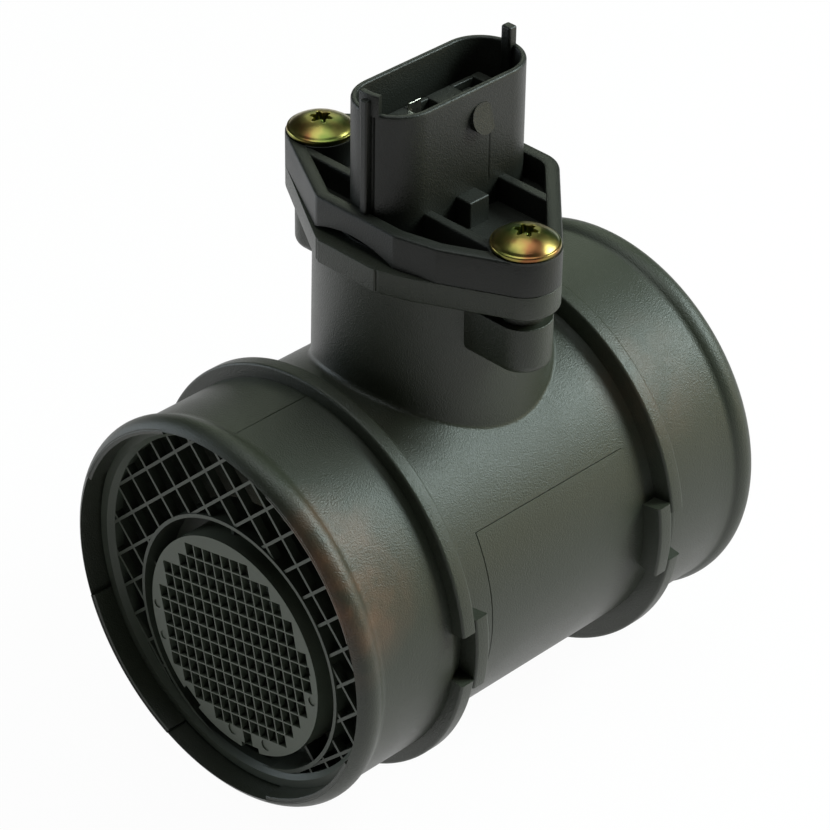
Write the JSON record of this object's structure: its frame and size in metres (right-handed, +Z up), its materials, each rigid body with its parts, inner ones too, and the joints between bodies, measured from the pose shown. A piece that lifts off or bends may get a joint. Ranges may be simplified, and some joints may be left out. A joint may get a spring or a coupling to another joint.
{
  "type": "mass airflow sensor",
  "caption": "Mass airflow sensor: round flow tube with hose beads, collars and inlet grids; a tower carries the bolted sensor body with its upright connector.",
  "frame": {"origin": "on the axis of the flow tube, halfway along it", "axes": "+Z up the tower towards the connector, +X along the air flow from the gridded inlet to the outlet"},
  "size_m": [0.1167, 0.0898, 0.149],
  "materials": {
    "housing": "matte dark olive-brown glass-filled plastic",
    "body": "matte dark grey-brown glass-filled plastic",
    "grid": "matte grey-olive plastic",
    "mesh": "satin grey-olive plastic",
    "seal": "matte black rubber",
    "plate": "satin sheet",
    "board": "matte white ceramic board",
    "chip": "black moulded package",
    "carrier": "matte ceramic strip",
    "silicon": "polished silicon",
    "cover": "matte dark plastic",
    "pearl": "glazed bead",
    "lead": "tinned wire",
    "contact": "tinned brass",
    "screw": "yellow zinc with a rainbow sheen"
  },
  "bodies": {
    "root": {"flow_tube": "housing", "inlet_grid": "grid", "centre_grid": "mesh", "sensor_body": "body", "seal_ring": "seal", "base_plate": "plate", "hybrid_board": "board", "signal_chip": "chip", "chip_carrier": "carrier", "sensing_chip": "silicon", "electronics_cover": "cover", "channel_cover": "cover", "temperature_bead": "pearl", "bead_lead_lower": "lead", "bead_lead_upper": "lead", "screw_front": "screw", "screw_rear": "screw", "terminal_1": "contact", "terminal_2": "contact", "terminal_3": "contact", "terminal_4": "contact", "terminal_5": "contact"}
  },
  "joints": []
}
